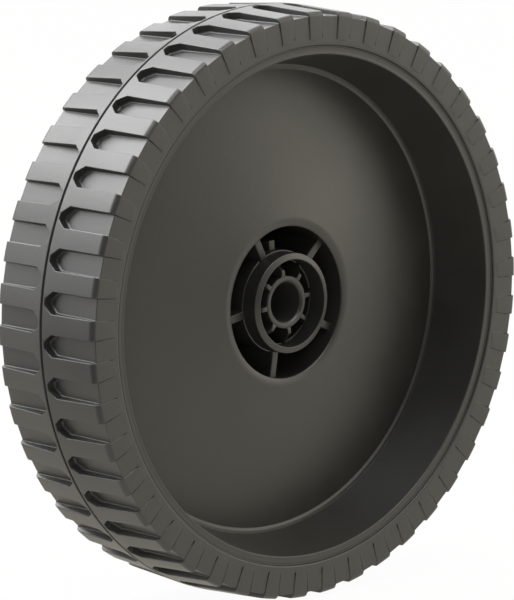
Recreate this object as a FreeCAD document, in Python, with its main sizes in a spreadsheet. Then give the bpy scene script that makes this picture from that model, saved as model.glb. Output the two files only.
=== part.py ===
import FreeCAD, Part
import os
import re

import Sketcher
from FreeCAD import Placement, Rotation, Vector

# Lawn mower wheel: a moulded wheel body and the tread tyre that is seated on its rim.
# The origin is the wheel's centre, the axle runs along Y and the outer face looks to -Y.
# Heights count along the axle from the centre plane, positive towards the outer face.
SIZES = {
    # Tyre
    "tread_radius": 100.0,
    "tread_drop": 1.4,
    "tyre_width": 47.0,
    "tyre_depth": 11.95,
    "shoulder_ease": 1.8,
    "seat_gap": 0.15,
    # Groove round the middle of the tread
    "groove_width": 1.0,
    "groove_depth": 0.8,
    # Tread pockets, one row on each half, half a pitch apart
    "pocket_count": 45,
    "pocket_width": 7.0,
    "pocket_depth": 3.0,
    "pocket_tip": 1.5,
    "pocket_tip_width": 2.2,
    "pocket_straight": 4.6,
    # Shallow panel in the sidewall below each pocket
    "panel_depth": 0.3,
    "panel_inset": 1.3,
    # Rim, waisted so that it holds the tyre
    "lip_recess": 1.0,
    "lip_thickness": 3.9,
    "lip_rise": 0.5,
    "lip_ease": 0.5,
    "dish_taper": 4.8,
    "rim_wall": 3.4,
    "rim_root_ease": 2.0,
    # Coned web and the narrow ledge at its foot
    "ledge_width": 1.9,
    "ledge_height": 1.7,
    "web_height": 10.45,
    "web_thickness": 3.2,
    # Hub cup
    "recess_radius": 25.7,
    "recess_slope": 2.3,
    "recess_drop": 0.75,
    "cup_wall": 3.0,
    "cup_root_ease": 2.0,
    "hub_back": 22.5,
    "hub_floor": 3.0,
    "hub_back_ease": 1.0,
    # Hub tube with its collar and inner step, and the ribs that carry it in the cup
    "tube_radius": 17.0,
    "tube_wall": 2.2,
    "tube_height": 12.6,
    "tube_fall": 0.6,
    "tube_ease": 0.4,
    "tube_step": 0.5,
    "tube_step_height": 5.8,
    "collar_step": 0.4,
    "collar_height": 6.2,
    "rib_height": 7.0,
    "rib_count": 5,
    "rib_thickness": 2.8,
    "rib_turn": 26.7,
    # Axle boss with its gussets
    "bore_radius": 6.6,
    "boss_wall": 2.4,
    "boss_height": 9.6,
    "lead_in": 0.9,
    "gusset_count": 8,
    "gusset_thickness": 1.5,
    "gusset_reach": 2.1,
    "gusset_slope": 3.8,
    "gusset_turn": 36.7,
    # Single stub on the outside of the tube
    "stub_height": 4.0,
    "stub_reach": 3.2,
    "stub_width": 2.7,
    "stub_turn": -94.6,
    # Depth by which ribs run into the walls that they join
    "root_depth": 0.6,
}

# Sizes that follow from those above
SEAT_RADIUS = "(tread_radius - tyre_depth)"
LIP_OUTER = f"({SEAT_RADIUS} - seat_gap)"
LIP_INNER = f"({LIP_OUTER} - lip_thickness)"
FOOT_RADIUS = f"({LIP_INNER} - dish_taper)"
WAIST_RADIUS = f"({FOOT_RADIUS} + rim_wall)"
SHOULDER_RADIUS = "(tread_radius - tread_drop)"
POCKET_FLOOR = "(tread_radius - pocket_depth)"
TYRE_SIDE = "(tyre_width / 2)"
RIM_SIDE = f"({TYRE_SIDE} - lip_recess)"
CUP_RADIUS = "(recess_radius + cup_wall)"
CUP_FLOOR = "(hub_floor - hub_back)"
COLLAR_RADIUS = "(tube_radius + collar_step)"
TUBE_INNER = "(tube_radius - tube_wall)"
STEP_RADIUS = f"({TUBE_INNER} - tube_step)"
BOSS_RADIUS = "(bore_radius + boss_wall)"

# Directions in a sketch's own axes
FLAT = Vector(1, 0, 0)
UPRIGHT = Vector(0, 1, 0)

doc = FreeCAD.newDocument("LawnMowerWheel")
sheet = doc.addObject("Spreadsheet::Sheet", "Sizes")
for row, (alias, number) in enumerate(SIZES.items(), start=1):
    sheet.set(f"A{row}", alias)
    sheet.set(f"B{row}", str(number))
    sheet.setAlias(f"B{row}", alias)
doc.recompute()


def on_sheet(expression):
    """Return the expression with each bare size name turned into a reference to its cell."""
    return re.sub(r"[a-z_]+", lambda word: f"Sizes.{word[0]}" if word[0] in SIZES else word[0], expression)


def value(expression):
    """Return the number that an expression of size names gives."""
    return float(sheet.evalExpression(on_sheet(expression)))


def bind(feature, **expressions):
    """Tie properties of a feature to expressions of size names."""
    for name, expression in expressions.items():
        feature.setExpression(name, on_sheet(expression))


def origin_feature(body, role):
    """Return the plane or axis of a body's origin with this role."""
    return next(feature for feature in body.Origin.OriginFeatures if feature.Role == role)


def new_body(label):
    """Return a new body whose label names the piece."""
    body = doc.addObject("PartDesign::Body", label)
    body.Label = label
    return body


def new_sketch(body, name, role, axis, turn, shift=()):
    """Return a sketch on an origin plane, turned about one of its own axes and then shifted."""
    sketch = body.newObject("Sketcher::SketchObject", name)
    sketch.AttachmentSupport = (origin_feature(body, role), [""])
    sketch.MapMode = "FlatFace"
    sketch.AttachmentOffset = Placement(Vector(), Rotation(axis, value(turn)))
    sketch.setExpression("AttachmentOffset.Rotation.Angle", on_sheet(turn))
    for direction, expression in shift:
        sketch.setExpression(f"AttachmentOffset.Base.{direction}", on_sheet(expression))
    return sketch


def draw_outline(sketch, corners):
    """Draw a closed outline through corners, each a pair of expressions for across and along."""
    places = [Vector(value(across), value(along), 0) for across, along in corners]
    sides = range(len(places))
    for side in sides:
        sketch.addGeometry(Part.LineSegment(places[side - 1], places[side]))
    for side in sides:
        sketch.addConstraint(Sketcher.Constraint("Coincident", side - 1 if side else sides[-1], 2, side, 1))
    for side, (across, along) in enumerate(corners):
        for kind, expression in (("DistanceX", across), ("DistanceY", along)):
            datum = Sketcher.Constraint(kind, -1, 1, side, 2, value(expression))
            number = sketch.addConstraint(datum)
            sketch.setExpression(f"Constraints[{number}]", on_sheet(expression))


def turn_solid(body, name, sketch):
    """Turn a profile right round the axle."""
    feature = body.newObject("PartDesign::Revolution", name)
    feature.Profile = (sketch, [""])
    feature.ReferenceAxis = (sketch, ["V_Axis"])
    feature.Angle = 360
    doc.recompute()
    return feature


def ease_rings(body, name, size, rings):
    """Chamfer the circular edges of a body that lie at the given radii and heights."""
    base = body.Tip
    wanted = [(value(radius), value(height)) for radius, height in rings]
    edges = []
    for number, edge in enumerate(base.Shape.Edges, start=1):
        if not isinstance(edge.Curve, Part.Circle):
            continue
        for radius, height in wanted:
            if abs(edge.Curve.Radius - radius) < 1e-4 and abs(edge.Curve.Center.y + height) < 1e-4:
                edges.append(f"Edge{number}")
    if len(edges) != len(wanted):
        raise ValueError(f"{name}: {len(edges)} edges found, {len(wanted)} expected")
    feature = body.newObject("PartDesign::Chamfer", name)
    feature.Base = (base, edges)
    bind(feature, Size=size)
    doc.recompute()


def pad_across(body, name, sketch, thickness):
    """Pad a profile to both sides of its plane."""
    feature = body.newObject("PartDesign::Pad", name)
    feature.Profile = sketch
    feature.Midplane = True
    bind(feature, Length=thickness)
    return feature


def repeat_round_axle(body, name, features, count):
    """Repeat features evenly round the axle and make the result the body's tip."""
    pattern = body.newObject("PartDesign::PolarPattern", name)
    pattern.Originals = features
    pattern.Axis = (origin_feature(body, "Y_Axis"), [""])
    pattern.Angle = 360
    bind(pattern, Occurrences=count)
    body.Tip = pattern
    doc.recompute()


# Wheel body: rim, web, cup, tube, collar and axle boss are one turned profile
wheel_body = new_body("wheel_body")
body_outline = new_sketch(wheel_body, "BodyOutline", "XY_Plane", FLAT, "180")
draw_outline(
    body_outline,
    [
        ("bore_radius", "boss_height - lead_in"),
        ("bore_radius + lead_in", "boss_height"),
        (BOSS_RADIUS, "boss_height"),
        (BOSS_RADIUS, CUP_FLOOR),
        (STEP_RADIUS, CUP_FLOOR),
        (STEP_RADIUS, "tube_step_height"),
        (TUBE_INNER, "tube_step_height"),
        (TUBE_INNER, "tube_height"),
        ("tube_radius", "tube_height - tube_fall"),
        ("tube_radius", "collar_height"),
        (COLLAR_RADIUS, "collar_height"),
        (COLLAR_RADIUS, CUP_FLOOR),
        ("recess_radius", CUP_FLOOR),
        ("recess_radius", "web_height - recess_drop"),
        ("recess_radius + recess_slope", "web_height"),
        (f"{FOOT_RADIUS} - ledge_width", "ledge_height"),
        (FOOT_RADIUS, "ledge_height"),
        (LIP_INNER, RIM_SIDE),
        (LIP_OUTER, f"{RIM_SIDE} + lip_rise"),
        (WAIST_RADIUS, "0"),
        (LIP_OUTER, f"-{RIM_SIDE} - lip_rise"),
        (LIP_INNER, f"-{RIM_SIDE}"),
        (FOOT_RADIUS, "ledge_height - web_thickness"),
        (CUP_RADIUS, "web_height - web_thickness"),
        (CUP_RADIUS, "-hub_back"),
        ("bore_radius", "-hub_back"),
    ],
)
turn_solid(wheel_body, "BodyTurned", body_outline)

# Eased edges of the lips, the tube's end and the back of the hub
ease_rings(wheel_body, "LipEdges", "lip_ease", [(LIP_INNER, RIM_SIDE), (LIP_INNER, f"-{RIM_SIDE}")])
ease_rings(wheel_body, "TubeEnd", "tube_ease", [("tube_radius", "tube_height - tube_fall")])
ease_rings(wheel_body, "HubBack", "hub_back_ease", [(CUP_RADIUS, "-hub_back")])
ease_rings(wheel_body, "CupRoot", "cup_root_ease", [(CUP_RADIUS, "web_height - web_thickness")])
ease_rings(wheel_body, "RimRoot", "rim_root_ease", [(FOOT_RADIUS, "ledge_height - web_thickness")])

# Ribs between the collar and the cup's wall
rib_outline = new_sketch(wheel_body, "RibOutline", "XY_Plane", UPRIGHT, "rib_turn")
draw_outline(
    rib_outline,
    [
        (f"{COLLAR_RADIUS} - root_depth", f"-{CUP_FLOOR} + root_depth"),
        ("recess_radius + root_depth", f"-{CUP_FLOOR} + root_depth"),
        ("recess_radius + root_depth", "-rib_height"),
        (f"{COLLAR_RADIUS} - root_depth", "-rib_height"),
    ],
)
rib = pad_across(wheel_body, "Rib", rib_outline, "rib_thickness")
repeat_round_axle(wheel_body, "Ribs", [rib], "rib_count")

# Gussets that stand off the boss, flush with its end, and widen to the tube's wall lower down
gusset_outline = new_sketch(wheel_body, "GussetOutline", "XY_Plane", UPRIGHT, "gusset_turn")
draw_outline(
    gusset_outline,
    [
        (f"{BOSS_RADIUS} - root_depth", f"-{CUP_FLOOR} + root_depth"),
        (f"{STEP_RADIUS} + root_depth", f"-{CUP_FLOOR} + root_depth"),
        (f"{STEP_RADIUS} + root_depth", "-boss_height + gusset_slope"),
        (f"{BOSS_RADIUS} + gusset_reach", "-boss_height"),
        (f"{BOSS_RADIUS} - root_depth", "-boss_height"),
    ],
)
gusset = pad_across(wheel_body, "Gusset", gusset_outline, "gusset_thickness")
repeat_round_axle(wheel_body, "Gussets", [gusset], "gusset_count")

# Stub that stands off the tube's wall in the cup
stub_outline = new_sketch(wheel_body, "StubOutline", "XY_Plane", UPRIGHT, "stub_turn")
draw_outline(
    stub_outline,
    [
        ("tube_radius - root_depth", f"-{CUP_FLOOR} + root_depth"),
        (f"{COLLAR_RADIUS} + stub_reach", f"-{CUP_FLOOR} + root_depth"),
        (f"{COLLAR_RADIUS} + stub_reach", "-stub_height"),
        ("tube_radius - root_depth", "-stub_height"),
    ],
)
pad_across(wheel_body, "Stub", stub_outline, "stub_width")
doc.recompute()

# Tyre: crowned tread, flat sidewalls and an inside that follows the waisted rim
tyre = new_body("tyre")
tyre_outline = new_sketch(tyre, "TyreOutline", "XY_Plane", FLAT, "180")
draw_outline(
    tyre_outline,
    [
        (SEAT_RADIUS, TYRE_SIDE),
        (SHOULDER_RADIUS, TYRE_SIDE),
        ("tread_radius", "groove_width / 2"),
        ("tread_radius - groove_depth", "groove_width / 2"),
        ("tread_radius - groove_depth", "-groove_width / 2"),
        ("tread_radius", "-groove_width / 2"),
        (SHOULDER_RADIUS, f"-{TYRE_SIDE}"),
        (SEAT_RADIUS, f"-{TYRE_SIDE}"),
        (SEAT_RADIUS, f"-{RIM_SIDE}"),
        (f"{WAIST_RADIUS} + seat_gap", "0"),
        (SEAT_RADIUS, RIM_SIDE),
    ],
)
turn_solid(tyre, "TyreTurned", tyre_outline)
ease_rings(tyre, "Shoulders", "shoulder_ease", [(SHOULDER_RADIUS, TYRE_SIDE), (SHOULDER_RADIUS, f"-{TYRE_SIDE}")])

# Each row: a pocket with a pointed inner end and radial walls, open at the shoulder, and its sidewall panel
OVERSHOOT = "pocket_width"
for row_name, side, turn in (("Inner", "1", "-90 / pocket_count"), ("Outer", "-1", "90 / pocket_count")):
    floor_shift = [("y", f"-{POCKET_FLOOR} * sin({turn})"), ("z", f"{POCKET_FLOOR} * cos({turn})")]
    pocket_outline = new_sketch(tyre, f"{row_name}Pocket", "YZ_Plane", FLAT, turn, floor_shift)
    draw_outline(
        pocket_outline,
        [
            (f"{side} * pocket_tip", "pocket_tip_width / 2"),
            (f"{side} * pocket_straight", "pocket_width / 2"),
            (f"{side} * ({TYRE_SIDE} + {OVERSHOOT})", "pocket_width / 2"),
            (f"{side} * ({TYRE_SIDE} + {OVERSHOOT})", "-pocket_width / 2"),
            (f"{side} * pocket_straight", "-pocket_width / 2"),
            (f"{side} * pocket_tip", "-pocket_tip_width / 2"),
        ],
    )
    pocket = tyre.newObject("PartDesign::Pocket", f"{row_name}PocketCut")
    pocket.Profile = pocket_outline
    pocket.Reversed = True
    bind(pocket, Length=f"pocket_depth + {OVERSHOOT}", TaperAngle=f"atan(pocket_width / 2 / {POCKET_FLOOR})")

    panel_outline = new_sketch(tyre, f"{row_name}Panel", "XY_Plane", UPRIGHT, turn)
    draw_outline(
        panel_outline,
        [
            (f"{SEAT_RADIUS} + panel_inset", f"{side} * ({TYRE_SIDE} - panel_depth)"),
            ("tread_radius", f"{side} * ({TYRE_SIDE} - panel_depth)"),
            ("tread_radius", f"{side} * ({TYRE_SIDE} + {OVERSHOOT})"),
            (f"{SEAT_RADIUS} + panel_inset", f"{side} * ({TYRE_SIDE} + {OVERSHOOT})"),
        ],
    )
    panel = tyre.newObject("PartDesign::Pocket", f"{row_name}PanelCut")
    panel.Profile = panel_outline
    panel.Midplane = True
    bind(panel, Length="pocket_width")
    repeat_round_axle(tyre, f"{row_name}Row", [pocket, panel], "pocket_count")

for item in doc.Objects:
    if "Invalid" in item.State or "Error" in item.State:
        raise RuntimeError(f"{item.Name} failed: {item.State}")
os.makedirs("parts", exist_ok=True)
for piece in (wheel_body, tyre):
    if piece.Shape.isNull() or not piece.Shape.isValid():
        raise RuntimeError(f"{piece.Label} has no valid shape")
    print(piece.Label, f"{piece.Shape.Volume:.1f} mm3,", len(piece.Shape.Solids), "solid")
    piece.Shape.exportStep(f"parts/{piece.Label}.step")
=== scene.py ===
from math import asin, atan, cos, degrees, pi, radians, sin, sqrt, tan

import bmesh
import bpy
from mathutils import Matrix, Vector


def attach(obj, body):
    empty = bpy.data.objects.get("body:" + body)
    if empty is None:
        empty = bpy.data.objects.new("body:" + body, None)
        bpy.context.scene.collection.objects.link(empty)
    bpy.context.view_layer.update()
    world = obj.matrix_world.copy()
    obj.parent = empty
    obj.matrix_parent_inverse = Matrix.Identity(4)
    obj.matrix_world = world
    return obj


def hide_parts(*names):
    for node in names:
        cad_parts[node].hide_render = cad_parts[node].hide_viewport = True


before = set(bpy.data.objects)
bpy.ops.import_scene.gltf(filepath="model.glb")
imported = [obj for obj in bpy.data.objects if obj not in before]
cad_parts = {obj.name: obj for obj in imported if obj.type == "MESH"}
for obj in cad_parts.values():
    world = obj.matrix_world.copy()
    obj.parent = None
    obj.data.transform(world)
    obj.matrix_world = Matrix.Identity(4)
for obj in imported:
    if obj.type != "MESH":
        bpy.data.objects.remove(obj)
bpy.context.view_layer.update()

MM = 0.001

# Sizes in millimetres. The main ones are those of the part's source, and the finer forms are drawn here only.
# Heights count from the middle plane to the outer face, and turns are degrees from the top towards -X.

# Tyre
TREAD_RADIUS = 100.0
TREAD_DROP = 1.4
TYRE_SIDE = 23.5
SHOULDER_EASE = 1.8
SHOULDER_REACH = 1.8
SHOULDER_STEPS = 6
GROOVE_HALF = 0.5
GROOVE_FOOT_HALF = 0.4
GROOVE_DEPTH = 0.8
POCKET_COUNT = 45
POCKET_HALF = 3.5
POCKET_DEPTH = 3.0
POCKET_TIP = 1.5
POCKET_TIP_HALF = 1.1
POCKET_STRAIGHT = 4.6
POCKET_EVEN = 6.6
FLOOR_BENDS = (0, 18, 36, 54, 72, 90)
BAR_HEIGHT = 0.25
BAR_FOOT = 89.7
BAR_TOE = 89.2
SEAT_RADIUS = 87.24
SEAT_HEIGHT = 22.35
SEAT_LENGTH = 0.3
SEAT_GAP = 0.15
TYRE_EDGE = 0.25
# Radius, and fall below the panels, along the rounded edge of the bead
BEAD_EDGE = [(88.3, 0.0), (87.8, 0.03), (87.52, 0.13), (87.36, 0.32)]
# Shift of the corners of a pocket's mouth along its tip and its side, as a share of the walls' spread
TIP_SHIFT = 0.49
CORNER_SHIFT = 0.342

# Wheel body
RIM_SIDE = 22.5
RIM_RADIUS = 87.2
WAIST_RADIUS = 82.6
BORE_RADIUS = 6.6
BOSS_RADIUS = 9.0
BOSS_HEIGHT = 9.6
TUBE_BORE = 14.3
TUBE_STEP_RADIUS = 14.8
TUBE_STEP_HEIGHT = 5.8
TUBE_RADIUS = 17.0
COLLAR_RADIUS = 17.4
COLLAR_HEIGHT = 6.2
CUP_RADIUS = 25.7
CUP_FLOOR = -19.5
HUB_RADIUS = 28.7
BODY_STEPS = 180
RIB_COUNT = 5
RIB_TURN = 27.3
RIB_TOP = 7.0
RIB_EDGE = 0.4
GUSSET_COUNT = 8
GUSSET_TURN = 8.3
GUSSET_EDGE = 0.25
STUB_TURN = 4.6
STUB_EDGE = 0.3
ROOT_DEPTH = 0.6


# Places on the wheel

def place(radius, turn, height):
    """Point at a radius, a turn and a height, in metres."""
    angle = radians(turn)
    return Vector((-radius * sin(angle), -height, radius * cos(angle))) * MM


def pocket_place(across, up, height):
    """Point beside the middle line of a pocket that lies at the top of the wheel, in metres."""
    return Vector((-across, -height, up)) * MM


# Geometry Nodes that repeat a segment round the axle

def round_the_axle_tree():
    """Node tree that repeats its geometry evenly round the axle and welds the seams."""
    tree = bpy.data.node_groups.new("round_the_axle", "GeometryNodeTree")
    face = tree.interface
    face.new_socket("Segment", in_out="INPUT", socket_type="NodeSocketGeometry")
    face.new_socket("Count", in_out="INPUT", socket_type="NodeSocketInt").default_value = 8
    face.new_socket("First turn", in_out="INPUT", socket_type="NodeSocketFloat").default_value = 0.0
    face.new_socket("Weld distance", in_out="INPUT", socket_type="NodeSocketFloat").default_value = 0.00001
    face.new_socket("Finish", in_out="INPUT", socket_type="NodeSocketMaterial")
    face.new_socket("Ring", in_out="OUTPUT", socket_type="NodeSocketGeometry")
    nodes, link = tree.nodes, tree.links.new
    given = nodes.new("NodeGroupInput")
    made = nodes.new("NodeGroupOutput")
    points = nodes.new("GeometryNodePoints")
    index = nodes.new("GeometryNodeInputIndex")
    step = nodes.new("ShaderNodeMath")
    step.operation = "DIVIDE"
    step.inputs[0].default_value = 2 * pi
    turn = nodes.new("ShaderNodeMath")
    turn.operation = "MULTIPLY_ADD"
    rotation = nodes.new("ShaderNodeCombineXYZ")
    copies = nodes.new("GeometryNodeInstanceOnPoints")
    real = nodes.new("GeometryNodeRealizeInstances")
    weld = nodes.new("GeometryNodeMergeByDistance")
    finish = nodes.new("GeometryNodeSetMaterial")
    link(given.outputs["Count"], points.inputs["Count"])
    link(given.outputs["Count"], step.inputs[1])
    link(index.outputs["Index"], turn.inputs[0])
    link(step.outputs[0], turn.inputs[1])
    link(given.outputs["First turn"], turn.inputs[2])
    link(turn.outputs[0], rotation.inputs["Y"])
    link(points.outputs[0], copies.inputs["Points"])
    link(given.outputs["Segment"], copies.inputs["Instance"])
    link(rotation.outputs[0], copies.inputs["Rotation"])
    link(copies.outputs["Instances"], real.inputs["Geometry"])
    link(real.outputs["Geometry"], weld.inputs["Geometry"])
    link(given.outputs["Weld distance"], weld.inputs["Distance"])
    link(weld.outputs["Geometry"], finish.inputs["Geometry"])
    link(given.outputs["Finish"], finish.inputs["Material"])
    link(finish.outputs["Geometry"], made.inputs["Ring"])
    return tree


def repeat_round_axle(tree, name, segment, count, turn, material):
    """Plain mesh of a segment mesh repeated round the axle, with the first copy at a turn."""
    holder = bpy.data.objects.new(name, segment)
    bpy.context.scene.collection.objects.link(holder)
    modifier = holder.modifiers.new("round_the_axle", "NODES")
    modifier.node_group = tree
    keys = {item.name: item.identifier for item in tree.interface.items_tree if item.in_out == "INPUT"}
    modifier[keys["Count"]] = count
    modifier[keys["First turn"]] = -radians(turn)
    modifier[keys["Finish"]] = material
    holder.update_tag()
    ready = holder.evaluated_get(bpy.context.evaluated_depsgraph_get())
    mesh = bpy.data.meshes.new_from_object(ready)
    bpy.data.objects.remove(holder)
    bpy.data.meshes.remove(segment)
    return mesh


def finished_piece(name, meshes, material):
    """One object at the origin made of plain meshes, with its faces outward and shaded smooth."""
    shape = bmesh.new()
    for mesh in meshes:
        shape.from_mesh(mesh)
        bpy.data.meshes.remove(mesh)
    bmesh.ops.recalc_face_normals(shape, faces=shape.faces)
    for face in shape.faces:
        face.smooth = True
        face.material_index = 0
    mesh = bpy.data.meshes.new(name)
    shape.to_mesh(mesh)
    shape.free()
    mesh.materials.clear()
    mesh.materials.append(material)
    piece = bpy.data.objects.new(name, mesh)
    bpy.context.scene.collection.objects.link(piece)
    return piece


def mesh_of_faces(name, faces):
    """Mesh of faces that are given as lists of points, with equal points joined."""
    shape = bmesh.new()
    for corners in faces:
        shape.faces.new([shape.verts.new(corner) for corner in corners])
    bmesh.ops.remove_doubles(shape, verts=shape.verts, dist=1e-6)
    mesh = bpy.data.meshes.new(name)
    shape.to_mesh(mesh)
    shape.free()
    return mesh


# Tread tyre

def tread_radius_at(height):
    """Radius of the crowned tread at a height."""
    return TREAD_RADIUS - TREAD_DROP * (height - GROOVE_HALF) / (TYRE_SIDE - GROOVE_HALF)


def half_tread_faces():
    """Faces of half a pitch segment of the tyre: the outer half, with one pocket in its middle."""
    floor = TREAD_RADIUS - POCKET_DEPTH
    draft = POCKET_HALF / floor
    wall_turn = degrees(atan(draft))
    half_pitch = 180.0 / POCKET_COUNT
    panel = TYRE_SIDE - BAR_HEIGHT
    foot_turn = degrees(asin(POCKET_HALF / BAR_FOOT))
    toe_turn = degrees(asin(POCKET_HALF / BAR_TOE))
    start = TYRE_SIDE - SHOULDER_REACH
    start_radius = tread_radius_at(start)
    end_radius = tread_radius_at(TYRE_SIDE) - SHOULDER_EASE
    shoulder = []
    for step in range(SHOULDER_STEPS + 1):
        bend = step * pi / (2 * SHOULDER_STEPS)
        shoulder.append((end_radius + (start_radius - end_radius) * cos(bend), start + SHOULDER_REACH * sin(bend)))

    # Mouth of the pocket on the tread, widened by the draft of its walls
    spread = (TREAD_RADIUS - floor) * draft
    tip_height = POCKET_TIP - spread
    tip_half = POCKET_TIP_HALF + TIP_SHIFT * spread
    corner_half = POCKET_HALF + spread
    corner_height = POCKET_STRAIGHT - CORNER_SHIFT * spread
    slant_half = (POCKET_TIP_HALF + POCKET_HALF) / 2
    slant_height = (POCKET_TIP + POCKET_STRAIGHT) / 2
    slope = Vector((POCKET_STRAIGHT - POCKET_TIP, POCKET_TIP_HALF - POCKET_HALF)).normalized()

    # Outline of the floor with the way inwards, and the size of the round at its edge
    outline = [
        (0.0, POCKET_TIP, Vector((0, 1)), 0.9),
        (POCKET_TIP_HALF, POCKET_TIP, Vector((-0.44, 0.9)), 0.9),
        (slant_half, slant_height, Vector((-slope.x, -slope.y)), 0.9),
        (POCKET_HALF, POCKET_STRAIGHT, Vector((-0.95, 0.32)), 0.8),
        (POCKET_HALF, POCKET_EVEN, Vector((-1, 0)), 0.4),
        (POCKET_HALF, start, Vector((-1, 0)), 0.3),
        (POCKET_HALF, panel, Vector((-1, 0)), 0.1),
    ]
    at_start, at_panel = 5, 6

    def on_tread(across, height):
        radius = tread_radius_at(height)
        return pocket_place(across, sqrt(radius ** 2 - across ** 2), height)

    faces = []
    middle = place(TREAD_RADIUS, 0, GROOVE_HALF)
    tip_middle = on_tread(0.0, tip_height)
    for side in (-1, 1):
        def edge(radius, height):
            return place(radius, side * half_pitch, height)

        def wall(radius, height):
            return place(radius, side * wall_turn, height)

        inner = place(TREAD_RADIUS, side * half_pitch / 2, GROOVE_HALF)
        tip = on_tread(side * tip_half, tip_height)
        slant = on_tread(side * (tip_half + corner_half) / 2, (tip_height + corner_height) / 2)
        corner = wall(tread_radius_at(corner_height), corner_height)
        # Tread round the pocket's tip, along its side and over the shoulder
        faces.append([middle, tip, tip_middle])
        faces.append([middle, inner, slant, tip])
        faces.append([inner, edge(TREAD_RADIUS, GROOVE_HALF),
                      edge(tread_radius_at(corner_height), corner_height), corner, slant])
        rows = [(tread_radius_at(height), height) for height in (corner_height, POCKET_EVEN)] + shoulder
        for (radius, height), (next_radius, next_height) in zip(rows, rows[1:]):
            faces.append([wall(radius, height), edge(radius, height), edge(next_radius, next_height),
                          wall(next_radius, next_height)])
        # Groove in the middle of the tread
        depth_radius = TREAD_RADIUS - GROOVE_DEPTH
        for first, second in ((0, side * half_pitch / 2), (side * half_pitch / 2, side * half_pitch)):
            levels = [(TREAD_RADIUS, GROOVE_HALF), (depth_radius, GROOVE_FOOT_HALF), (depth_radius, 0.0)]
            for (radius, height), (next_radius, next_height) in zip(levels, levels[1:]):
                faces.append([place(radius, first, height), place(radius, second, height),
                              place(next_radius, second, next_height),
                              place(next_radius, first, next_height)])
        # Walls that round into the floor
        rings = []
        for bend in FLOOR_BENDS:
            ring = []
            for across, height, inward, rounding in outline:
                inset = rounding * (1 - cos(radians(bend)))
                up = floor + rounding * (1 - sin(radians(bend)))
                ring.append(pocket_place(side * (across + inward.x * inset), up, height + inward.y * inset))
            rings.append(ring)
        mouth = [tip_middle, tip, slant, corner]
        mouth += [wall(tread_radius_at(height), height) for height in (POCKET_EVEN, start)]
        for above, below in zip([mouth] + rings, rings):
            for index in range(at_start):
                faces.append([above[index], above[index + 1], below[index + 1], below[index]])
        for above, below in zip(rings, rings[1:]):
            faces.append([above[at_start], above[at_panel], below[at_panel], below[at_start]])
        over = [wall(radius, height) for radius, height in shoulder]
        faces.append(over + [rings[0][at_panel], rings[0][at_start]])
        # Floor, panel and the raised bar beside it
        low = rings[-1]
        centre = [pocket_place(0, floor, height) for height in (POCKET_EVEN, start, panel)]
        faces.append(low[:at_start] + [centre[0]])
        faces.append([centre[0], low[at_start - 1], low[at_start], centre[1]])
        faces.append([centre[1], low[at_start], low[at_panel], centre[2]])
        foot = place(BAR_FOOT, side * foot_turn, TYRE_SIDE)
        toe = place(BAR_TOE, side * toe_turn, panel)
        faces.append([centre[2]] + [ring[at_panel] for ring in reversed(rings)] + [toe, place(BAR_TOE, 0, panel)])
        faces.append([over[-1], foot, toe, rings[0][at_panel]])
        faces.append([over[-1], edge(end_radius, TYRE_SIDE), edge(BAR_FOOT, TYRE_SIDE), foot])
        faces.append([foot, edge(BAR_FOOT, TYRE_SIDE), edge(BAR_TOE, panel), toe])
    # Bead that falls to the lip, and the inside that follows the rim
    seat_end = SEAT_HEIGHT - SEAT_LENGTH
    toe_turns = [-half_pitch, -toe_turn, 0.0, toe_turn, half_pitch]
    inside = [(BAR_TOE, panel)] + [(radius, panel - fall) for radius, fall in BEAD_EDGE]
    inside += [(SEAT_RADIUS, SEAT_HEIGHT), (SEAT_RADIUS, seat_end)]
    for (radius, height), (next_radius, next_height) in zip(inside, inside[1:]):
        for first, second in zip(toe_turns, toe_turns[1:]):
            faces.append([place(radius, first, height), place(radius, second, height),
                          place(next_radius, second, next_height), place(next_radius, first, next_height)])
    waist_turns = [share * half_pitch for share in (-1, -0.5, 0, 0.5, 1)]
    for index in range(4):
        faces.append([place(SEAT_RADIUS, toe_turns[index], seat_end),
                      place(SEAT_RADIUS, toe_turns[index + 1], seat_end),
                      place(WAIST_RADIUS + SEAT_GAP, waist_turns[index + 1], 0.0),
                      place(WAIST_RADIUS + SEAT_GAP, waist_turns[index], 0.0)])
    return faces


def tread_segment():
    """Mesh of one pitch of the tyre: an outer half, and an inner half that is half a pitch on."""
    outer = half_tread_faces()
    half_turn = Matrix.Rotation(pi / POCKET_COUNT, 4, "Y")
    inner = [[half_turn @ Vector((point.x, -point.y, point.z)) for point in face] for face in outer]
    return mesh_of_faces("tread_segment", outer + inner)


# Wheel body

def rounded_outline(corners, step=18.0, side_share=0.45):
    """Points of a closed outline of (across, along, rounding) corners, each rounded by an arc.

    An arc takes a point about every step degrees, and at most a share of the sides beside it.
    """
    points = []
    for index, (across, along, rounding) in enumerate(corners):
        corner = Vector((across, along))
        before = Vector(corners[index - 1][:2]) - corner
        after = Vector(corners[(index + 1) % len(corners)][:2]) - corner
        opening = before.angle(after)
        sweep = pi - opening
        reach = min(rounding / tan(opening / 2), side_share * before.length, side_share * after.length)
        radius = reach * tan(opening / 2)
        inward = (before.normalized() + after.normalized()).normalized()
        centre = corner + inward * (radius / sin(opening / 2))
        first = corner + before.normalized() * reach - centre
        turn = 1 if before.x * after.y - before.y * after.x < 0 else -1
        count = max(2, round(sweep * 180 / pi / step))
        for number in range(count + 1):
            angle = turn * sweep * number / count
            points.append(centre + Vector((first.x * cos(angle) - first.y * sin(angle),
                                           first.x * sin(angle) + first.y * cos(angle))))
    return points


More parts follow.
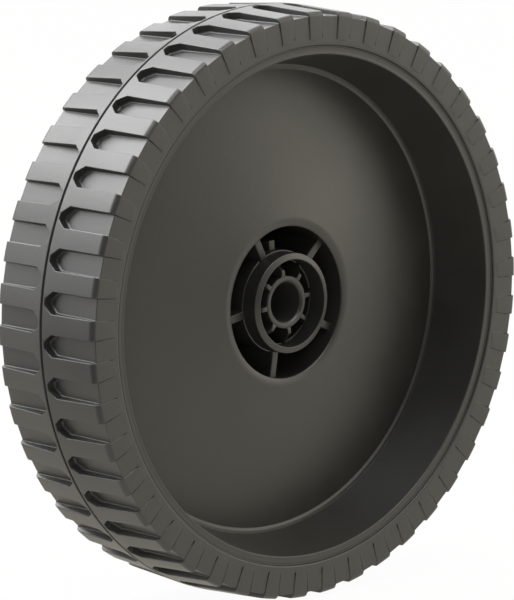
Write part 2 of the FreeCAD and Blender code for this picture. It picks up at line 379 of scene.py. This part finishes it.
# Corners of the turned body: radius, height and rounding
BODY_OUTLINE = [
    # Axle boss
    (BORE_RADIUS, 8.7, 0.2), (7.5, BOSS_HEIGHT, 0.35), (BOSS_RADIUS, BOSS_HEIGHT, 0.6),
    (BOSS_RADIUS, CUP_FLOOR, 0.9),
    # Tube with its inner step, sloped end and collar
    (TUBE_BORE, CUP_FLOOR, 0.9), (TUBE_BORE, TUBE_STEP_HEIGHT, 0.2),
    (TUBE_STEP_RADIUS, TUBE_STEP_HEIGHT, 0.15), (TUBE_STEP_RADIUS, 12.7, 0.3), (TUBE_RADIUS, 11.85, 0.4),
    (TUBE_RADIUS, COLLAR_HEIGHT, 0.2), (COLLAR_RADIUS, COLLAR_HEIGHT, 0.25), (COLLAR_RADIUS, CUP_FLOOR, 0.9),
    # Cup, coned web and the small step on the ledge
    (CUP_RADIUS, CUP_FLOOR, 1.2), (CUP_RADIUS, 9.7, 0.7), (28.0, 10.45, 5.0), (78.0, 1.6, 0.3),
    (78.8, 2.2, 0.5), (79.7, 2.3, 0.05),
    # Lip at the top of the dish wall, with a shallow hollow and a fine mould line
    (84.3, RIM_SIDE, 0.45), (85.4, RIM_SIDE - 0.12, 2.0), (86.6, RIM_SIDE - 0.06, 0.05),
    (86.63, RIM_SIDE - 0.2, 0.03), (86.72, RIM_SIDE - 0.2, 0.03), (86.75, RIM_SIDE - 0.03, 0.03),
    # Waist under the tyre
    (RIM_RADIUS, RIM_SIDE + 0.05, 0.03), (WAIST_RADIUS, 0.0, 3.0), (RIM_RADIUS, -RIM_SIDE - 0.05, 0.03),
    # Inner side
    (84.4, -RIM_SIDE, 0.45), (79.2, -1.5, 2.4), (HUB_RADIUS, 7.25, 2.4), (HUB_RADIUS, -RIM_SIDE, 1.2),
    (BORE_RADIUS, -RIM_SIDE, 0.6),
]


def body_segment():
    """Mesh of one narrow step of the turned body."""
    points = rounded_outline(BODY_OUTLINE)
    half = 180.0 / BODY_STEPS
    faces = []
    for first, second in zip(points, points[1:] + points[:1]):
        faces.append([place(first.x, -half, first.y), place(second.x, -half, second.y),
                      place(second.x, half, second.y), place(first.x, half, first.y)])
    return mesh_of_faces("body_segment", faces)


def slab(name, sections):
    """Closed mesh through sections that are lists of points with equal length."""
    faces = []
    for first, second in zip(sections, sections[1:]):
        for index in range(len(first)):
            after = (index + 1) % len(first)
            faces.append([first[index], first[after], second[after], second[index]])
    faces.append(list(sections[0]))
    faces.append(list(sections[-1]))
    return mesh_of_faces(name, faces)


def rib_section(radius, half, top, edge):
    """Section across a rib at a radius: an upright bar with a rounded top, rooted in the cup's floor."""
    bottom = CUP_FLOOR - ROOT_DEPTH
    points = []
    for across, height in ((-half, bottom), (-half, top - edge), (-half + 0.3 * edge, top - 0.3 * edge),
                           (-half + edge, top), (half - edge, top), (half - 0.3 * edge, top - 0.3 * edge),
                           (half, top - edge), (half, bottom)):
        points.append(Vector((-across, -height, radius)) * MM)
    return points


def rib_segment():
    """Mesh of one rib between the tube and the cup's wall, flared a little where it joins them."""
    stations = [(16.5, 1.6), (17.4, 1.55), (17.8, 1.42), (18.4, 1.4), (24.7, 1.4), (25.3, 1.42), (25.7, 1.55),
                (26.3, 1.6)]
    return slab("rib_segment", [rib_section(radius, half, RIB_TOP, RIB_EDGE) for radius, half in stations])


def gusset_segment():
    """Mesh of one gusset that stands off the boss, flush with its end, and falls to the tube."""
    stations = [(8.4, 1.0, 9.3), (9.0, 0.95, 9.4), (9.4, 0.8, 9.55), (9.9, 0.75, 9.58), (10.9, 0.75, 9.55),
                (11.2, 0.7, 9.2), (14.2, 0.75, 6.2), (14.9, 0.9, 5.8)]
    return slab("gusset_segment", [rib_section(radius, half, top, GUSSET_EDGE) for radius, half, top in stations])


def stub_segment():
    """Mesh of the single stub that stands off the tube in the cup."""
    stations = [(16.6, 1.45, 4.0), (17.6, 1.4, 4.0), (18.2, 1.35, 4.0), (20.3, 1.35, 4.0), (20.62, 1.25, 3.9),
                (20.7, 1.1, 3.7)]
    return slab("stub_segment", [rib_section(radius, half, top, STUB_EDGE) for radius, half, top in stations])


# Finishes

ROUGHNESS = 0.42
ROUGHNESS_SPREAD = 0.05
GRAIN_SCALE = 900.0
GRAIN_DEPTH = 0.00006
STREAKS_ROUND = 30.0
STREAKS_OUTWARD = 14.0
BORE_END, BORE_EASE = 0.0067, 0.0071
BORE_ROUGHNESS = 0.9
WHITE = (1, 1, 1, 1)


def shader_tools(owner):
    """Node maker for the emptied tree of a material or a world."""
    owner.use_nodes = True
    tree = owner.node_tree
    tree.nodes.clear()

    def node(kind, inputs=None, **settings):
        made = tree.nodes.new(kind)
        for key, setting in settings.items():
            setattr(made, key, setting)
        for key, given in (inputs or {}).items():
            if isinstance(given, bpy.types.NodeSocket):
                tree.links.new(given, made.inputs[key])
            else:
                made.inputs[key].default_value = given
        return made

    return node


def moulded_finish(name, dark, light, streaks):
    """Moulded compound: fine grain, cloudy tone, and flow streaks that run out from the axle."""
    material = bpy.data.materials.new(name)
    node = shader_tools(material)
    where = node("ShaderNodeTexCoord").outputs["Object"]
    parts = node("ShaderNodeSeparateXYZ", {0: where})
    # Flow that runs out from the axle
    flat = node("ShaderNodeCombineXYZ", {0: parts.outputs["X"], 2: parts.outputs["Z"]})
    unit = node("ShaderNodeVectorMath", {0: flat.outputs[0]}, operation="NORMALIZE")
    around = node("ShaderNodeVectorMath", {0: unit.outputs[0], "Scale": STREAKS_ROUND}, operation="SCALE")
    outward = node("ShaderNodeVectorMath", {0: flat.outputs[0], "Scale": STREAKS_OUTWARD}, operation="SCALE")
    flow = node("ShaderNodeVectorMath", {0: around.outputs[0], 1: outward.outputs[0]}, operation="ADD")
    streak = node("ShaderNodeTexNoise", {
        "Vector": flow.outputs[0], "Scale": 1.6, "Detail": 4.0, "Roughness": 0.6})
    cloud = node("ShaderNodeTexNoise", {"Vector": where, "Scale": 45.0, "Detail": 5.0, "Roughness": 0.6})
    fine = node("ShaderNodeTexNoise", {"Vector": where, "Scale": GRAIN_SCALE, "Detail": 3.0, "Roughness": 0.7})
    speck = node("ShaderNodeTexVoronoi", {"Vector": where, "Scale": GRAIN_SCALE * 0.6}, feature="F1")
    # Tone
    blend = node("ShaderNodeMath", {0: streak.outputs[0], 1: streaks, 2: 0.5 - 0.5 * streaks},
                 operation="MULTIPLY_ADD")
    both = node("ShaderNodeMath", {0: cloud.outputs[0], 1: blend.outputs[0]}, operation="ADD")
    spread = node("ShaderNodeMapRange", {0: both.outputs[0], 1: 0.7, 2: 1.3, 3: 0.0, 4: 1.0})
    tone = node("ShaderNodeMix", {0: spread.outputs[0], 6: dark, 7: light}, data_type="RGBA")
    gloss = node("ShaderNodeMapRange", {
        0: both.outputs[0], 1: 0.7, 2: 1.3, 3: ROUGHNESS - ROUGHNESS_SPREAD, 4: ROUGHNESS + ROUGHNESS_SPREAD})
    # Grain
    rough = node("ShaderNodeMath", {0: speck.outputs["Distance"], 1: 0.6, 2: fine.outputs[0]},
                 operation="MULTIPLY_ADD")
    bump = node("ShaderNodeBump", {"Strength": 0.35, "Distance": GRAIN_DEPTH, "Height": rough.outputs[0]})
    # Bore, which is duller than the rest
    distance = node("ShaderNodeVectorMath", {0: flat.outputs[0]}, operation="LENGTH")
    dull = node("ShaderNodeMapRange", {
        0: distance.outputs["Value"], 1: BORE_END, 2: BORE_EASE, 3: BORE_ROUGHNESS, 4: 0.0})
    gloss = node("ShaderNodeMath", {0: gloss.outputs[0], 1: dull.outputs[0]}, operation="MAXIMUM")
    sheen = node("ShaderNodeMapRange", {0: dull.outputs[0], 1: 0.0, 2: BORE_ROUGHNESS, 3: 0.5, 4: 0.1})
    surface = node("ShaderNodeBsdfPrincipled", {
        "Base Color": tone.outputs[2], "Roughness": gloss.outputs[0], "Normal": bump.outputs[0], "IOR": 1.6,
        "Specular IOR Level": sheen.outputs[0]})
    node("ShaderNodeOutputMaterial", {"Surface": surface.outputs[0]})
    return material


body_plastic = moulded_finish("body_plastic", (0.0115, 0.0112, 0.0095, 1), (0.018, 0.0176, 0.015, 1), 0.5)
tyre_compound = moulded_finish("tyre_compound", (0.015, 0.0150, 0.0145, 1), (0.023, 0.0230, 0.0222, 1), 0.25)

# Pieces
ring_tree = round_the_axle_tree()
tread_ring = repeat_round_axle(ring_tree, "tread_ring", tread_segment(), POCKET_COUNT, 180.0 / POCKET_COUNT,
                               tyre_compound)
tyre = finished_piece("tread_tyre", [tread_ring], tyre_compound)
eased = tyre.modifiers.new("eased_edges", "BEVEL")
eased.limit_method = "ANGLE"
eased.angle_limit = radians(38)
eased.width = TYRE_EDGE * MM
eased.segments = 2
eased.use_clamp_overlap = False

body = finished_piece(
    "wheel_disc", [
        repeat_round_axle(ring_tree, "body_ring", body_segment(), BODY_STEPS, 0.0, body_plastic),
        repeat_round_axle(ring_tree, "rib_ring", rib_segment(), RIB_COUNT, RIB_TURN, body_plastic),
        repeat_round_axle(ring_tree, "gusset_ring", gusset_segment(), GUSSET_COUNT, GUSSET_TURN, body_plastic),
        repeat_round_axle(ring_tree, "stub", stub_segment(), 1, STUB_TURN, body_plastic),
    ], body_plastic)

for piece, node_name, slot_name in ((tyre, "tyre", "tyre_compound"), (body, "wheel_body", "body_plastic")):
    weighted = piece.modifiers.new("even_shading", "WEIGHTED_NORMAL")
    weighted.keep_sharp = True
    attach(piece, "root")
    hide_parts(node_name)


# Floor

FLOOR_REACH = 6
PAPER_GLOW = 0.96


def studio_paper():
    """Paper that is white to the camera, and that shows darker in the sheen where it lies in front at the left."""
    paper = bpy.data.materials.new("studio_paper")
    node = shader_tools(paper)
    path = node("ShaderNodeLightPath")
    seen = node("ShaderNodeMath", {0: path.outputs["Is Camera Ray"], 1: path.outputs["Is Glossy Ray"]},
                operation="MAXIMUM")
    share = node("ShaderNodeMath", {0: seen.outputs[0], 1: PAPER_GLOW}, operation="MULTIPLY")
    pale = node("ShaderNodeBsdfDiffuse", {"Color": (0.9, 0.89, 0.86, 1)})
    tint = node("ShaderNodeMix", {0: path.outputs["Is Camera Ray"], 6: (1, 0.95, 0.82, 1), 7: WHITE},
                data_type="RGBA")
    spot = node("ShaderNodeNewGeometry").outputs["Position"]
    beside = node("ShaderNodeVectorMath", {0: spot, 1: (-0.9, -0.44, 0.0)}, operation="DOT_PRODUCT")
    level = node("ShaderNodeMapRange", {0: beside.outputs["Value"], 1: 0.1, 2: 0.38, 3: 1.0, 4: 0.05},
                 interpolation_type="SMOOTHSTEP")
    level = node("ShaderNodeMath", {0: level.outputs[0], 1: path.outputs["Is Camera Ray"]}, operation="MAXIMUM")
    glow = node("ShaderNodeEmission", {"Color": tint.outputs[2], "Strength": level.outputs[0]})
    mixed = node("ShaderNodeMixShader", {0: share.outputs[0], 1: pale.outputs[0], 2: glow.outputs[0]})
    node("ShaderNodeOutputMaterial", {"Surface": mixed.outputs[0]})
    return paper


floor_corners = [Vector((x * FLOOR_REACH, y * FLOOR_REACH, -TREAD_RADIUS * MM))
                 for x, y in ((-1, -1), (1, -1), (1, 1), (-1, 1))]
floor_mesh = mesh_of_faces("studio_floor", [floor_corners])
floor_mesh.materials.append(studio_paper())
floor = bpy.data.objects.new("studio_floor", floor_mesh)
bpy.context.scene.collection.objects.link(floor)


# Light

def white_tent():
    """World of a warm white tent that is darker towards the viewer, and white to the camera."""
    world = bpy.data.worlds.new("white_tent")
    node = shader_tools(world)
    towards = node("ShaderNodeTexCoord").outputs["Generated"]
    facing = node("ShaderNodeVectorMath", {0: towards, 1: (-0.6, -0.8, 0.0)}, operation="DOT_PRODUCT")
    level = node("ShaderNodeMapRange", {0: facing.outputs["Value"], 1: 0.3, 2: 0.85, 3: 1.05, 4: 0.08},
                 interpolation_type="SMOOTHSTEP")
    path = node("ShaderNodeLightPath")
    level = node("ShaderNodeMath", {0: level.outputs[0], 1: path.outputs["Is Camera Ray"]}, operation="MAXIMUM")
    warm_side = node("ShaderNodeVectorMath", {0: towards, 1: (0.6, -0.7, -0.4)}, operation="DOT_PRODUCT")
    neutral = node("ShaderNodeMapRange", {0: warm_side.outputs["Value"], 1: 0.6, 2: -0.2, 3: 0.0, 4: 1.0},
                   interpolation_type="SMOOTHSTEP")
    neutral = node("ShaderNodeMath", {0: neutral.outputs[0], 1: path.outputs["Is Camera Ray"]},
                   operation="MAXIMUM")
    tint = node("ShaderNodeMix", {0: neutral.outputs[0], 6: (1, 0.96, 0.8, 1), 7: WHITE}, data_type="RGBA")
    sky = node("ShaderNodeBackground", {"Color": tint.outputs[2], "Strength": level.outputs[0]})
    node("ShaderNodeOutputWorld", {"Surface": sky.outputs[0]})
    return world


def soft_panel(name, stand, size, radiance, colour=(1, 1, 1), diffuse=True, sheen=True):
    """Square light panel that faces the wheel, and that can be left out of its diffuse light or its sheen."""
    lamp = bpy.data.lights.new(name, "AREA")
    lamp.shape = "SQUARE"
    lamp.size = size
    lamp.energy = radiance * pi * size * size
    lamp.color = colour
    holder = bpy.data.objects.new(name, lamp)
    holder.location = stand
    holder.rotation_euler = (-Vector(stand)).to_track_quat("-Z", "Y").to_euler()
    holder.visible_camera = False
    holder.visible_diffuse = diffuse
    holder.visible_glossy = sheen
    bpy.context.scene.collection.objects.link(holder)


bpy.context.scene.world = white_tent()
soft_panel("top_panel", (-0.45, 0.72, 1.1), 1.2, 1.5)
soft_panel("top_sheen", (-0.5, 0.72, 1.05), 1.3, 6.5, diffuse=False)
soft_panel("top_right_sheen", (0.75, 0.85, 0.9), 1.0, 2.4, diffuse=False)
soft_panel("top_front_panel", (-0.35, -0.7, 1.3), 0.8, 2.0)
soft_panel("top_front_sheen", (0.1, -0.6, 1.3), 0.6, 5.0, diffuse=False)
soft_panel("left_back_sheen", (-0.95, 0.98, 0.22), 0.6, 1.6, diffuse=False)
soft_panel("viewer_fill", (-0.82, -0.86, 0.2), 0.6, 3.4, sheen=False)
soft_panel("right_panel", (0.75, -0.4, 0.35), 0.7, 1.4, (1, 0.95, 0.85))

# Camera at the photograph's viewpoint
AZIMUTH, ELEVATION = radians(-43.567), radians(9.340)
SHIFT_RIGHT, SHIFT_UP, DISTANCE = -0.003373, -0.000333, 1.23606
right = Vector((cos(AZIMUTH), sin(AZIMUTH), 0))
back = Vector((sin(AZIMUTH) * cos(ELEVATION), -cos(AZIMUTH) * cos(ELEVATION), sin(ELEVATION)))
up = back.cross(right)
camera_data = bpy.data.cameras.new("camera")
camera_data.sensor_width = 36.0
camera_data.lens = 219.56
camera_data.clip_end = 50.0
camera = bpy.data.objects.new("camera", camera_data)
camera.matrix_world = Matrix((
    (right.x, up.x, back.x, 0), (right.y, up.y, back.y, 0), (right.z, up.z, back.z, 0), (0, 0, 0, 1)))
camera.location = SHIFT_RIGHT * right + SHIFT_UP * up + DISTANCE * back
bpy.context.scene.collection.objects.link(camera)
bpy.context.scene.camera = camera
bpy.context.scene.view_settings.view_transform = "Standard"
